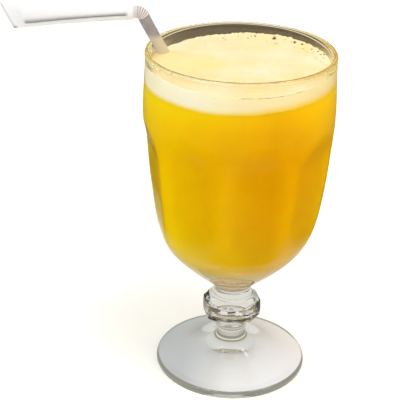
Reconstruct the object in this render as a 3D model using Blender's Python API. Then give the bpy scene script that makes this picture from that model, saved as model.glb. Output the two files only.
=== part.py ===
# A stemmed glass of orange juice: the pressed goblet, the juice, its foam, and a bent straw in a paper sleeve.
# Metres, +Z up. The origin is the middle of the foot's underside, and the viewer stands on the -Y side.
import math

import bmesh
import bpy
from mathutils import Matrix, Vector
from mathutils.geometry import interpolate_bezier

MM = 0.001

# Gap between pieces that touch
GAP = 0.3

# Goblet, in millimetres
RIM_HEIGHT = 162.8
RIM_RADIUS = 43.0
LIP_RADIUS = 1.35
WALL_AT_RIM = 2.7
SHOULDER_RADIUS = 43.9
SHOULDER_HEIGHT = 134.0
BOWL_FOOT_HEIGHT = 45.0
BOWL_FLOOR_HEIGHT = 61.5
NECK_RADIUS = 8.7
KNOB_RADIUS = 14.3
KNOB_LOW = 27.6
KNOB_HIGH = 35.0
STEM_RADIUS = 6.7
FOOT_RADIUS = 36.9
FOOT_EDGE = 4.0
FOOT_TOP_HEIGHT = 17.4

# Knots and handles of the goblet's outline, as (radius, height) in millimetres
FOOT_HANDLES = ((23.3, 5.4), (9.2, 11.5))
BEAD_CENTRE = (5.2, 20.4)
BEAD_RADIUS = 2.4
KNOB_FOOT = (9.2, 23.4)
KNOB_TOP = (9.9, 38.0)
KNOB_BELLY = 0.15
RING_CENTRES = ((9.0, 39.6), (8.5, 42.6))
RING_RADIUS = 0.6
NECK_HEIGHT = 41.0
NECK_TOP = (9.0, 43.7)
BOWL_FOOT_RADIUS = 10.3
BOWL_FOOT_HANDLES = ((18.0, 52.0), (31.0, 62.5))
WAIST = (34.5, 70.0)
WAIST_HANDLES = ((40.6, 79.0), (42.3, 104.7))
UNDER_SHOULDER = (43.3, 120.0)
SHOULDER_HANDLE_HEIGHTS = (129.0, 144.0)
UNDER_SHOULDER_HANDLE = (43.5, 125.0)
UNDER_LIP_HANDLE = (42.9, 152.0)
UNDER_LIP_STEP = 0.25
UNDER_LIP_DROP = 3.2
HOLLOW_WIDENING = 0.1
HOLLOW_HANDLES = ((36.5, 114.7), (37.6, 82.8))
HOLLOW_LOW = (30.4, 72.0)
FLOOR_HANDLES = ((26.9, 65.3), (15.2, 61.5))

# Pressed facets, in millimetres and degrees
FACETS = 8
RIB_AZIMUTH = -97.5
RIB_ROUNDING = 0.8
BOWL_PRESS = 3.0
BOWL_PRESS_TOP = 138.0
BOWL_PRESS_FULL = 121.0
BOWL_PRESS_FADE = 95.0
BOWL_PRESS_END = 50.0
KNOB_PRESS = 1.0
KNOB_PRESS_LOW = 24.6
KNOB_PRESS_HIGH = 36.0
PRESS_MISS = 1.5

# Drink, in millimetres and degrees. The foam's edge climbs the wall behind and sinks in front.
JUICE_LEVEL = 147.5
FOAM_LEVEL = 157.0
FOAM_EDGE_DROP = 0.3
FOAM_EDGE_LEAN = 1.2
FOAM_EDGE_TWIST = 0.35
FOAM_EDGE_AZIMUTH = 60.0
FOAM_EDGE_WIDTH = 4.0
FOAM_SWELL = 0.12
FOAM_RINGS = (38.4, 37.0, 34.0, 30.0, 23.0, 16.0, 9.0, 0.0)
CHANNEL_TOP = 167.0

# Straw, in millimetres
STRAW_RADIUS = 2.65
STRAW_WALL = 0.3
STRAW_ENTRY = Vector((-34.4, 6.05, 157.0))
STRAW_LEAN = Vector((-0.507, -0.15, 1.0))
STRAW_LOW_END = 67.5
STRAW_CORNER_HEIGHT = 177.9
UPPER_DIRECTION = Vector((-1.0, -0.11, -0.05))
UPPER_LENGTH = 51.2
BEND_RADIUS = 3.6
PLEATS = 6
PLEAT_HEIGHT = 0.4

# Paper sleeve, in millimetres: distance past the bend, half height, half thickness, rise off the straw's axis
SLEEVE_SECTIONS = (
    (1.2, 3.25, 3.25, 0.0),
    (12.0, 3.3, 3.3, 0.05),
    (25.0, 3.7, 3.3, 0.3),
    (37.0, 4.5, 3.25, 0.7),
    (46.0, 5.3, 3.25, 1.0),
    (49.4, 5.4, 3.2, 1.0),
    (51.5, 5.5, 1.7, 1.0),
    (53.5, 5.5, 0.9, 1.0),
    (56.5, 5.5, 0.6, 1.0),
)
SLEEVE_WALL = 0.25
SLEEVE_SEAL = 2.0
SLEEVE_SLANT = 2.7
SLEEVE_SLANT_START = 45.2
SLEEVE_TILT = 12.0

# Share of a pleat's height at the sides of the bend, and how much it gains outside and loses inside
PLEAT_SIDE = 0.55
PLEAT_GAIN = 0.45

# Steps round each piece
GLASS_STEPS = 56
DRINK_STEPS = 40
STRAW_STEPS = 14
SLEEVE_STEPS = 18

SMOOTH_ANGLE = math.radians(38)
MERGE_DISTANCE = 0.0005


def clear_scene():
    for obj in list(bpy.data.objects):
        bpy.data.objects.remove(obj, do_unlink=True)


def material(name, colour, roughness, transmission=0.0, ior=1.45):
    made = bpy.data.materials.new(name)
    made.use_nodes = True
    shader = made.node_tree.nodes["Principled BSDF"]
    shader.inputs["Base Color"].default_value = (*colour, 1.0)
    shader.inputs["Metallic"].default_value = 0.0
    shader.inputs["Roughness"].default_value = roughness
    shader.inputs["Transmission Weight"].default_value = transmission
    shader.inputs["IOR"].default_value = ior
    return made


def add_object(name, bm, finish):
    bmesh.ops.remove_doubles(bm, verts=bm.verts[:], dist=MERGE_DISTANCE)
    bmesh.ops.recalc_face_normals(bm, faces=bm.faces[:])
    bmesh.ops.scale(bm, vec=(MM, MM, MM), verts=bm.verts[:])
    mesh = bpy.data.meshes.new(name)
    bm.to_mesh(mesh)
    bm.free()
    mesh.materials.append(finish)
    mesh.shade_smooth()
    mesh.set_sharp_from_angle(angle=SMOOTH_ANGLE)
    obj = bpy.data.objects.new(name, mesh)
    bpy.context.scene.collection.objects.link(obj)
    return obj


# Outlines are lists of (radius, height) points in millimetres


def curve(start, start_handle, end_handle, end, count):
    """A Bezier stretch of an outline, without its first point."""
    knots = [Vector((*point, 0.0)) for point in (start, start_handle, end_handle, end)]
    return [(point.x, point.y) for point in interpolate_bezier(*knots, count + 1)[1:]]


def arc(centre, radius, first, last, count):
    """A round stretch of an outline, between two angles in degrees."""
    points = []
    for step in range(count + 1):
        angle = math.radians(first + (last - first) * step / count)
        points.append((centre[0] + radius * math.cos(angle), centre[1] + radius * math.sin(angle)))
    return points


def foot_outline():
    edge = FOOT_EDGE / 2
    centre = (FOOT_RADIUS - edge, edge)
    top = (FOOT_RADIUS - edge, FOOT_EDGE)
    dome = curve(top, *FOOT_HANDLES, (STEM_RADIUS, FOOT_TOP_HEIGHT), 9)
    return [(0.0, 0.0)] + arc(centre, edge, -90, 90, 5) + dome


def stem_outline():
    """From above the foot, over the bead, the knob and the ring lines, to the bowl."""
    bead = arc(BEAD_CENTRE, BEAD_RADIUS, -60, 65, 4)
    belly = (KNOB_RADIUS + KNOB_BELLY, (KNOB_LOW + KNOB_HIGH) / 2)
    knob = [KNOB_FOOT, (KNOB_RADIUS, KNOB_LOW), belly, (KNOB_RADIUS, KNOB_HIGH), KNOB_TOP]
    low_ring, high_ring = [arc(centre, RING_RADIUS, -55, 55, 3) for centre in RING_CENTRES]
    return bead + knob + low_ring + [(NECK_RADIUS, NECK_HEIGHT)] + high_ring + [NECK_TOP]


def bowl_outline():
    neck = (BOWL_FOOT_RADIUS, BOWL_FOOT_HEIGHT)
    shoulder = (SHOULDER_RADIUS, SHOULDER_HEIGHT)
    shoulder_handles = [(SHOULDER_RADIUS, height) for height in SHOULDER_HANDLE_HEIGHTS]
    under_lip = (RIM_RADIUS - UNDER_LIP_STEP, RIM_HEIGHT - UNDER_LIP_DROP)
    points = curve(neck, *BOWL_FOOT_HANDLES, WAIST, 9)
    points += curve(WAIST, *WAIST_HANDLES, UNDER_SHOULDER, 9)
    points += curve(UNDER_SHOULDER, UNDER_SHOULDER_HANDLE, shoulder_handles[0], shoulder, 5)
    points += curve(shoulder, shoulder_handles[1], UNDER_LIP_HANDLE, under_lip, 4)
    return [neck] + points


def lip_outline():
    centre = (RIM_RADIUS - LIP_RADIUS, RIM_HEIGHT - LIP_RADIUS)
    return arc(centre, LIP_RADIUS, -50, 180, 7)


def hollow_outline():
    """The inside of the bowl, from the lip down to the axis."""
    lip = (RIM_RADIUS - WALL_AT_RIM, RIM_HEIGHT - LIP_RADIUS)
    shoulder = (RIM_RADIUS - WALL_AT_RIM + HOLLOW_WIDENING, SHOULDER_HEIGHT)
    points = [lip, (lip[0], JUICE_LEVEL), shoulder]
    points += curve(shoulder, *HOLLOW_HANDLES, HOLLOW_LOW, 7)
    points += curve(HOLLOW_LOW, *FLOOR_HANDLES, (0.0, BOWL_FLOOR_HEIGHT), 6)
    return points


def spin_outline(bm, outline, steps):
    """Turns an outline round the Z axis, from a rib's azimuth, and returns its vertices."""
    start = Matrix.Rotation(math.radians(RIB_AZIMUTH), 4, "Z")
    column = [bm.verts.new(start @ Vector((radius, 0.0, height))) for radius, height in outline]
    edges = [bm.edges.new(pair) for pair in zip(column, column[1:])]
    others = set(bm.verts) - set(column)
    bmesh.ops.spin(
        bm,
        geom=column + edges,
        cent=(0.0, 0.0, 0.0),
        axis=(0.0, 0.0, 1.0),
        angle=math.tau,
        steps=steps,
        use_merge=True,
    )
    return [vert for vert in bm.verts if vert not in others]


def smooth_step(value, low, high):
    share = min(max((value - low) / (high - low), 0.0), 1.0)
    return share * share * (3.0 - 2.0 * share)


def press_depth(height):
    """How deep the middle of a facet lies under the turned surface: negative where it misses."""
    if KNOB_PRESS_LOW < height < KNOB_PRESS_HIGH:
        return KNOB_PRESS
    upper = 1.0 - smooth_step(height, BOWL_PRESS_FULL, BOWL_PRESS_TOP)
    lower = smooth_step(height, BOWL_PRESS_END, BOWL_PRESS_FADE)
    return (BOWL_PRESS + PRESS_MISS) * upper * lower - PRESS_MISS


def press_facets(verts):
    """Moves the turned outer skin in to eight flat facets with round ribs between them."""
    facet = math.tau / FACETS
    for vert in verts:
        radius = math.hypot(vert.co.x, vert.co.y)
        if radius < STEM_RADIUS:
            continue
        azimuth = math.atan2(vert.co.y, vert.co.x) - math.radians(RIB_AZIMUTH)
        off_middle = (azimuth % facet) - facet / 2
        flat = (radius - press_depth(vert.co.z)) / math.cos(off_middle)
        over = radius - flat
        cut = (over + math.hypot(over, RIB_ROUNDING)) / 2
        vert.co.x *= 1.0 - cut / radius
        vert.co.y *= 1.0 - cut / radius


def make_glass():
    bm = bmesh.new()
    outside = foot_outline() + stem_outline() + bowl_outline()
    press_facets(spin_outline(bm, outside, GLASS_STEPS))
    spin_outline(bm, outside[-1:] + lip_outline() + hollow_outline()[1:], GLASS_STEPS)
    close_rim_seam(bm, outside[-1])
    return add_object("glass", bm, material("clear_glass", (0.95, 0.96, 0.95), 0.03, 1.0, 1.52))


def close_rim_seam(bm, seam):
    """Brings the two skins' copies of the seam under the lip together."""
    near = [vert for vert in bm.verts if abs(vert.co.z - seam[1]) < MERGE_DISTANCE]
    for vert in near:
        radius = math.hypot(vert.co.x, vert.co.y)
        if radius > RIM_RADIUS - WALL_AT_RIM / 2:
            vert.co.x *= seam[0] / radius
            vert.co.y *= seam[0] / radius


def inset_outline(outline, gap):
    """An outline moved inwards, at right angles to itself, by the gap."""
    moved = []
    for index, point in enumerate(outline):
        before = Vector(outline[max(index - 1, 0)])
        after = Vector(outline[min(index + 1, len(outline) - 1)])
        along = (after - before).normalized()
        moved.append((max(point[0] + along.y * gap, 0.0), point[1] - along.x * gap))
    return moved


def straw_channel():
    """The helper that cuts the straw's way through foam and juice."""
    lean = STRAW_LEAN.normalized()
    low = straw_point(STRAW_LOW_END) - lean * GAP
    high = straw_point(CHANNEL_TOP)
    bm = bmesh.new()
    bmesh.ops.create_cone(
        bm,
        cap_ends=True,
        segments=STRAW_STEPS,
        radius1=STRAW_RADIUS + GAP,
        radius2=STRAW_RADIUS + GAP,
        depth=(high - low).length,
    )
    turn = lean.to_track_quat("Z", "Y").to_matrix().to_4x4()
    bmesh.ops.transform(bm, matrix=Matrix.Translation((low + high) / 2) @ turn, verts=bm.verts[:])
    cutter = add_object("straw_channel", bm, material("channel", (0.5, 0.5, 0.5), 0.5))
    cutter.hide_render = True
    cutter.display_type = "WIRE"
    return cutter


def cut_by(obj, cutter):
    cut = obj.modifiers.new("straw_channel", "BOOLEAN")
    cut.operation = "DIFFERENCE"
    cut.solver = "EXACT"
    cut.object = cutter


def make_juice(cutter):
    rim = (RIM_RADIUS - WALL_AT_RIM, JUICE_LEVEL)
    below = [point for point in hollow_outline() if point[1] < JUICE_LEVEL]
    wall = inset_outline([rim] + below, GAP)
    wall[0] = (wall[0][0], JUICE_LEVEL)
    wall[-1] = (0.0, BOWL_FLOOR_HEIGHT + GAP)
    bm = bmesh.new()
    spin_outline(bm, [(0.0, JUICE_LEVEL)] + wall, DRINK_STEPS)
    juice = add_object("juice", bm, material("orange_juice", (0.83, 0.40, 0.0), 0.25))
    cut_by(juice, cutter)
    return juice


def foam_swell(x, y):
    """A gentle unevenness of the foam's top, in millimetres."""
    waves = math.sin(0.31 * x + 1.3) * math.cos(0.27 * y - 0.4) + 0.6 * math.sin(0.63 * y + 0.22 * x)
    return FOAM_SWELL * waves


def foam_edge(x, y):
    """How far the foam's skin rises or sinks on its way to the wall, in millimetres."""
    turn = math.atan2(y, x) - math.radians(FOAM_EDGE_AZIMUTH)
    climb = FOAM_EDGE_LEAN * math.cos(turn) + FOAM_EDGE_TWIST * math.cos(2 * turn) - FOAM_EDGE_DROP
    wall = RIM_RADIUS - WALL_AT_RIM
    return climb * smooth_step(math.hypot(x, y), wall - FOAM_EDGE_WIDTH, wall)


def make_foam(cutter):
    wall = RIM_RADIUS - WALL_AT_RIM - GAP
    low = JUICE_LEVEL + GAP
    outline = [(0.0, low), (wall, low)] + [(radius, FOAM_LEVEL) for radius in (wall, *FOAM_RINGS)]
    bm = bmesh.new()
    for vert in spin_outline(bm, outline, DRINK_STEPS):
        if vert.co.z > low + GAP:
            vert.co.z += foam_swell(vert.co.x, vert.co.y) + foam_edge(vert.co.x, vert.co.y)
    foam = add_object("foam", bm, material("juice_foam", (0.95, 0.84, 0.42), 0.6))
    cut_by(foam, cutter)
    return foam


def straw_point(height):
    """The straw's axis at a height, below its bend."""
    return STRAW_ENTRY + STRAW_LEAN * (height - STRAW_ENTRY.z)


def straw_bend():
    """Where the bend starts, its centre, its axis and its angle."""
    up = STRAW_LEAN.normalized()
    out = UPPER_DIRECTION.normalized()
    corner = straw_point(STRAW_CORNER_HEIGHT)
    angle = up.angle(out)
    start = corner - up * BEND_RADIUS * math.tan(angle / 2)
    axis = up.cross(out).normalized()
    centre = start + axis.cross(up) * BEND_RADIUS
    return start, centre, axis, angle


def tube_skin(bm, rings, steps):
    """Joins rings of points into a tube and returns the vertices of its two ends."""
    loops = []
    for ring in rings:
        loops.append([bm.verts.new(point) for point in ring])
    for low, high in zip(loops, loops[1:]):
        for step in range(steps):
            following = (step + 1) % steps
            bm.faces.new((low[step], low[following], high[following], high[step]))
    return loops[0], loops[-1]


def join_ends(bm, outer, inner):
    """Closes the wall between an outer and an inner ring."""
    for step in range(len(outer)):
        following = (step + 1) % len(outer)
        bm.faces.new((outer[step], inner[step], inner[following], outer[following]))


def straw_stations():
    """The straw's centres, axis directions and pleat heights, from the low end up."""
    start, centre, axis, angle = straw_bend()
    up = STRAW_LEAN.normalized()
    stations = [(straw_point(STRAW_LOW_END), up, 0.0)]
    for step in range(2 * PLEATS + 1):
        turn = Matrix.Rotation(angle * step / (2 * PLEATS), 3, axis)
        pleat = PLEAT_HEIGHT if step % 2 else 0.0
        stations.append((centre + turn @ (start - centre), turn @ up, pleat))
    last, out, _ = stations[-1]
    bend_reach = BEND_RADIUS * math.tan(angle / 2)
    stations.append((last + out * (UPPER_LENGTH - bend_reach), out, 0.0))
    return stations


def straw_ring(centre, along, radius, pleat):
    """A ring round the straw's axis. A pleat stands out less on the inner side of the bend."""
    axis = straw_bend()[2]
    side = axis.cross(along).normalized()
    ring = []
    for step in range(STRAW_STEPS):
        angle = math.tau * step / STRAW_STEPS
        reach = radius + pleat * (PLEAT_SIDE - PLEAT_GAIN * math.cos(angle))
        ring.append(centre + (side * math.cos(angle) + axis * math.sin(angle)) * reach)
    return ring


def make_straw():
    stations = straw_stations()
    outer = [straw_ring(centre, along, STRAW_RADIUS, pleat) for centre, along, pleat in stations]
    inner = [straw_ring(centre, along, STRAW_RADIUS - STRAW_WALL, pleat) for centre, along, pleat in stations]
    bm = bmesh.new()
    outer_low, outer_high = tube_skin(bm, outer, STRAW_STEPS)
    inner_low, inner_high = tube_skin(bm, inner, STRAW_STEPS)
    join_ends(bm, outer_low, inner_low)
    join_ends(bm, outer_high, inner_high)
    return add_object("straw", bm, material("clear_straw_plastic", (0.62, 0.60, 0.60), 0.25))


def sleeve_ring(start, along, tall, across, section, inset):
    """One cross-section of the sleeve, slanted near its sealed end."""
    reach, half_height, half_thickness, rise = section
    slant = SLEEVE_SLANT * smooth_step(reach, SLEEVE_SLANT_START, SLEEVE_SECTIONS[-1][0])
    ring = []
    for step in range(SLEEVE_STEPS):
        angle = math.tau * step / SLEEVE_STEPS
        height = math.cos(angle) * (half_height - inset)
        depth = math.sin(angle) * (half_thickness - inset)
        forward = reach + slant * math.cos(angle)
        ring.append(start + along * forward + tall * (height + rise) + across * depth)
    return ring


def make_wrapper():
    bend_start, centre, axis, angle = straw_bend()
    start = centre + Matrix.Rotation(angle, 3, axis) @ (bend_start - centre)
    along = UPPER_DIRECTION.normalized()
    level = along.cross(Vector((0.0, 0.0, 1.0))).normalized()
    tilt = Matrix.Rotation(math.radians(SLEEVE_TILT), 3, along)
    across = tilt @ level
    tall = across.cross(along).normalized()
    outer = [sleeve_ring(start, along, tall, across, section, 0.0) for section in SLEEVE_SECTIONS]
    end_reach, *end_shape = SLEEVE_SECTIONS[-1]
    hollow = SLEEVE_SECTIONS[:-1] + ((end_reach - SLEEVE_SEAL, *end_shape),)
    inner = [sleeve_ring(start, along, tall, across, section, SLEEVE_WALL) for section in hollow]
    bm = bmesh.new()
    outer_mouth, outer_end = tube_skin(bm, outer, SLEEVE_STEPS)
    inner_mouth, inner_end = tube_skin(bm, inner, SLEEVE_STEPS)
    join_ends(bm, outer_mouth, inner_mouth)
    bm.faces.new(outer_end)
    bm.faces.new(inner_end)
    return add_object("wrapper", bm, material("white_sleeve_paper", (0.9, 0.9, 0.9), 0.8))


clear_scene()
channel = straw_channel()
make_glass()
make_juice(channel)
make_foam(channel)
make_straw()
make_wrapper()
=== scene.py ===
import math
import random

import bmesh
import bpy
import numpy as np
from mathutils import Matrix, Vector, noise
from mathutils.geometry import interpolate_bezier


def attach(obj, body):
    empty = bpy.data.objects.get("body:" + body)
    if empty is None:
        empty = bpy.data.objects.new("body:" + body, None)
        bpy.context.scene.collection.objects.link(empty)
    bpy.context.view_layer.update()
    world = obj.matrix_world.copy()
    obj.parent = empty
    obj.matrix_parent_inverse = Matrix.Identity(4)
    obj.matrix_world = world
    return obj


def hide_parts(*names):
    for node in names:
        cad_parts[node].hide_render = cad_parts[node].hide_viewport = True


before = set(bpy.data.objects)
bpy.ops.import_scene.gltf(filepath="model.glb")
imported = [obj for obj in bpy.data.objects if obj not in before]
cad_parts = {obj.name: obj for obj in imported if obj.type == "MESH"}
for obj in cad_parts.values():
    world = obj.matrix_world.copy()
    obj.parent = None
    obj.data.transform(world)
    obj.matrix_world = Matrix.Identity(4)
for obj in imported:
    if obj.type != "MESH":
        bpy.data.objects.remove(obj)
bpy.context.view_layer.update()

mm = 0.001
colourMix = {"data_type": "RGBA"}


# small helpers

def hexColour(code):
    # sRGB hex to linear RGBA
    linear = []
    for start in (0, 2, 4):
        value = int(code[start:start + 2], 16) / 255
        linear.append(value / 12.92 if value <= 0.04045 else ((value + 0.055) / 1.055) ** 2.4)
    return (*linear, 1.0)


def addNode(tree, kind, settings=None, inputs=None, stops=None):
    # settings can be just an operation; an input is a plain value, a hex colour or a (node, output) pair
    node = tree.nodes.new("ShaderNode" + kind)
    if isinstance(settings, str):
        settings = {"operation": settings}
    for name, value in (settings or {}).items():
        setattr(node, name, value)
    for name, value in (inputs or {}).items():
        if isinstance(value, tuple) and isinstance(value[0], bpy.types.Node):
            tree.links.new(value[0].outputs[value[1]], node.inputs[name])
        else:
            node.inputs[name].default_value = hexColour(value) if isinstance(value, str) else value
    if stops:
        points = node.color_ramp.elements
        while len(points) < len(stops):
            points.new(0.5)
        for point, (place, colour) in zip(points, stops):
            point.position = place
            point.color = hexColour(colour) if isinstance(colour, str) else colour
    return node


def newMaterial(name):
    material = bpy.data.materials.new(name)
    material.use_nodes = True
    material.node_tree.nodes.clear()
    return material, material.node_tree


def smoothStep(value, low, high):
    share = min(max((value - low) / (high - low), 0.0), 1.0)
    return share * share * (3.0 - 2.0 * share)


def bezier(start, startHandle, endHandle, end, count):
    # a curved stretch of an outline, without its first point
    knots = [Vector((*point, 0.0)) for point in (start, startHandle, endHandle, end)]
    return [(point.x, point.y) for point in interpolate_bezier(*knots, count + 1)[1:]]


def around(radius, angle):
    return radius * math.cos(angle), radius * math.sin(angle)


def roundStretch(centre, radius, first, last, count):
    # an arc of an outline, angles in degrees
    points = []
    for step in range(count + 1):
        x, y = around(radius, math.radians(first + (last - first) * step / count))
        points.append((centre[0] + x, centre[1] + y))
    return points


def turned(bm, outline, steps, startAngle=0.0):
    # turns (radius, height) points round Z; points on the axis stay single
    rings = []
    for radius, height in outline:
        if radius < 1e-6:
            rings.append([bm.verts.new((0.0, 0.0, height))])
            continue
        ring = []
        for step in range(steps):
            angle = math.radians(startAngle) + math.tau * step / steps
            ring.append(bm.verts.new((*around(radius, angle), height)))
        rings.append(ring)
    for low, high in zip(rings, rings[1:]):
        for step in range(steps):
            after = (step + 1) % steps
            corners = [low[step % len(low)], low[after % len(low)]]
            corners += [high[after % len(high)], high[step % len(high)]]
            bm.faces.new(list(dict.fromkeys(corners)))
    return rings


def meshObject(name, bm, material):
    mesh = bpy.data.meshes.new(name)
    bm.to_mesh(mesh)
    bm.free()
    mesh.materials.append(material)
    piece = bpy.data.objects.new(name, mesh)
    bpy.context.scene.collection.objects.link(piece)
    return piece


def addPiece(name, bm, material, nodes, sharpAngle=40):
    # finishes a mesh made in millimetres and hangs it on the frame
    bmesh.ops.recalc_face_normals(bm, faces=bm.faces[:])
    bmesh.ops.scale(bm, vec=(mm, mm, mm), verts=bm.verts[:])
    piece = meshObject(name, bm, material)
    piece.data.shade_smooth()
    piece.data.set_sharp_from_angle(angle=math.radians(sharpAngle))
    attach(piece, "root")
    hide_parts(*nodes)
    print(f"made {name}: {len(piece.data.polygons)} faces")
    return piece


# camera, where the photo was taken from

view = {
    "place": (0.0, -490.9, 329.8),  # mm
    "yaw": -1.966, "pitch": 26.230, "roll": 1.339,  # degrees
    "lens": 104.14, "sensor": 36.0,  # mm
    "nearest": 0.01, "furthest": 20.0,  # m
}


def makeCamera():
    yaw, pitch, roll = (math.radians(view[key]) for key in ("yaw", "pitch", "roll"))
    ahead = Vector((math.sin(yaw) * math.cos(pitch), math.cos(yaw) * math.cos(pitch), -math.sin(pitch)))
    level = Vector((math.cos(yaw), -math.sin(yaw), 0.0))
    over = level.cross(ahead)
    right = math.cos(roll) * level + math.sin(roll) * over
    up = math.cos(roll) * over - math.sin(roll) * level
    turn = Matrix((right, up, -ahead)).transposed().to_4x4()
    data = bpy.data.cameras.new("camera")
    data.lens, data.sensor_width = view["lens"], view["sensor"]
    data.clip_start, data.clip_end = view["nearest"], view["furthest"]
    camera = bpy.data.objects.new("camera", data)
    camera.matrix_world = Matrix.Translation(Vector(view["place"]) * mm) @ turn
    bpy.context.scene.collection.objects.link(camera)
    bpy.context.scene.camera = camera


makeCamera()
print("camera set")


# the pressed goblet

goblet = {  # mm and degrees; points are (radius, height), and handles shape the curve to the next point
    # foot, with a shallow hollow under it whose handles are shares of its radius
    "footRadius": 36.9, "footEdge": 4.0, "footTopHeight": 17.4, "footHandles": ((23.3, 5.4), (9.2, 11.5)),
    "footHollow": 5.5, "footHollowRadius": 31.0, "footHollowHandles": (0.5, 0.75),
    # stem with a bead, the knob and two ring lines
    "stemRadius": 6.7, "beadCentre": (5.2, 20.4), "beadRadius": 2.4, "beadArc": (-60, 65),
    "knobStart": (9.2, 23.4), "underKnob": ((10.9, 24.8), (12.6, 26.2)),
    "knobRadius": 14.3, "knobLow": 27.6, "knobHigh": 35.0, "beltBulge": 0.2, "beltHandle": 2.4,
    "overKnob": ((12.8, 36.0), (11.4, 37.0)), "knobEnd": (9.9, 38.0),
    "ringLines": ((9.0, 39.6), (8.5, 42.6)), "ringRadius": 0.6, "ringArc": (-55, 55),
    "neckRadius": 8.7, "neckHeights": (41.0, 43.7), "neckFlare": 0.3,
    # bowl, from its foot to the seam under the lip
    "bowlFootHeight": 45.0, "bowlFootFlare": 1.6, "cupHandles": ((18.0, 52.0), (31.0, 62.5)),
    "cupTop": (34.5, 70.0), "sideHandles": ((40.6, 79.0), (42.3, 104.7)),
    "sideTop": (43.3, 120.0), "shoulderHandles": ((43.5, 125.0), (43.9, 129.0)),
    "shoulderRadius": 43.9, "shoulderHeight": 134.0, "upperHandles": ((43.9, 144.0), (42.9, 152.0)),
    "rimRadius": 43.0, "rimHeight": 162.8, "seamInset": 0.06, "seamDrop": 2.4,
    # lip, rounder on its inner side, and the inside of the bowl
    "lipRadius": 1.35, "lipArc": (-8, 90), "lipInside": 4.4, "lipHandles": (0.8, 2.0),
    "wall": 2.7, "wallThinning": 0.1, "insideHandles": ((36.5, 114.7), (37.6, 82.8)),
    "insideLow": (30.4, 72.0), "floorHandles": ((26.9, 65.3), (15.2, 61.5)), "bowlFloorHeight": 61.5,
    # pressed facets; where the press misses, the surface stays turned
    "facets": 8, "ribAzimuth": -97.5, "bowlRounding": 0.8, "knobRounding": 0.4,
    "bowlPress": 3.0, "pressTop": 140.0, "pressFull": 117.0, "pressFade": 95.0, "pressEnd": 50.0,
    "knobPress": 1.0, "knobPressPast": (3.0, 1.0), "pressMiss": 1.5,
    "steps": 256, "mergeDistance": 0.0005,
    # where the lip is painted with the drink's colour, and the bounces after which the foot shows a painted
    # grey glow
    "tintBelowRim": (2.4, 1.4), "tintAside": (18.0, 38.0), "tintLeast": 0.25, "trapDepth": 3.5,
}


def footOutline():
    edge = goblet["footEdge"] / 2
    centre = (goblet["footRadius"] - edge, edge)
    top = (goblet["stemRadius"], goblet["footTopHeight"])
    dome = bezier((centre[0], goblet["footEdge"]), *goblet["footHandles"], top, 28)
    middle, rim = (0.0, goblet["footHollow"]), (goblet["footHollowRadius"], 0.0)
    inner, outer = (share * rim[0] for share in goblet["footHollowHandles"])
    under = [middle] + bezier(middle, (inner, middle[1]), (outer, 0.0), rim, 24)
    return under + roundStretch(centre, edge, -90, 90, 14) + dome


def stemOutline():
    bead = roundStretch(goblet["beadCentre"], goblet["beadRadius"], *goblet["beadArc"], 14)
    radius, start = goblet["knobRadius"], goblet["knobStart"]
    low, high = (radius, goblet["knobLow"]), (radius, goblet["knobHigh"])
    bulge, handle = radius + goblet["beltBulge"], goblet["beltHandle"]
    knob = [start] + bezier(start, *goblet["underKnob"], low, 6)
    knob += bezier(low, (bulge, low[1] + handle), (bulge, high[1] - handle), high, 8)
    knob += bezier(high, *goblet["overKnob"], goblet["knobEnd"], 6)
    reach, arc = goblet["ringRadius"], goblet["ringArc"]
    lines = [roundStretch(centre, reach, *arc, 8) for centre in goblet["ringLines"]]
    between, above = goblet["neckHeights"]
    neck = lines[0] + [(goblet["neckRadius"], between)] + lines[1]
    return bead + knob + neck + [(goblet["neckRadius"] + goblet["neckFlare"], above)]


def bowlOutline():
    foot = (goblet["neckRadius"] + goblet["bowlFootFlare"], goblet["bowlFootHeight"])
    shoulder = (goblet["shoulderRadius"], goblet["shoulderHeight"])
    seam = (goblet["rimRadius"] - goblet["seamInset"], goblet["rimHeight"] - goblet["seamDrop"])
    points = [foot] + bezier(foot, *goblet["cupHandles"], goblet["cupTop"], 28)
    points += bezier(goblet["cupTop"], *goblet["sideHandles"], goblet["sideTop"], 26)
    points += bezier(goblet["sideTop"], *goblet["shoulderHandles"], shoulder, 12)
    return points + bezier(shoulder, *goblet["upperHandles"], seam, 10)


def lipOutline():
    reach = goblet["lipRadius"]
    centre = (goblet["rimRadius"] - reach, goblet["rimHeight"] - reach)
    outside = roundStretch(centre, reach, *goblet["lipArc"], 12)
    top, inner = outside[-1], goblet["rimRadius"] - goblet["wall"]
    low = (inner, goblet["rimHeight"] - goblet["lipInside"])
    flat, steep = goblet["lipHandles"]
    return outside + bezier(top, (top[0] - flat, top[1]), (inner, low[1] + steep), low, 12)


def hollowOutline():
    # inside of the bowl, from the lip down to the axis
    inner = goblet["rimRadius"] - goblet["wall"]
    lip = (inner, goblet["rimHeight"] - goblet["lipInside"])
    shoulder = (inner + goblet["wallThinning"], goblet["shoulderHeight"])
    floor = (0.0, goblet["bowlFloorHeight"])
    points = [lip, (inner, juice["level"]), shoulder]
    points += bezier(shoulder, *goblet["insideHandles"], goblet["insideLow"], 24)
    return points + bezier(goblet["insideLow"], *goblet["floorHandles"], floor, 20)


def pressDepth(height):
    # how deep the middle of a facet lies under the turned surface
    below, above = goblet["knobPressPast"]
    if goblet["knobLow"] - below < height < goblet["knobHigh"] + above:
        return goblet["knobPress"]
    upper = 1.0 - smoothStep(height, goblet["pressFull"], goblet["pressTop"])
    lower = smoothStep(height, goblet["pressEnd"], goblet["pressFade"])
    return (goblet["bowlPress"] + goblet["pressMiss"]) * upper * lower - goblet["pressMiss"]


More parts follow.
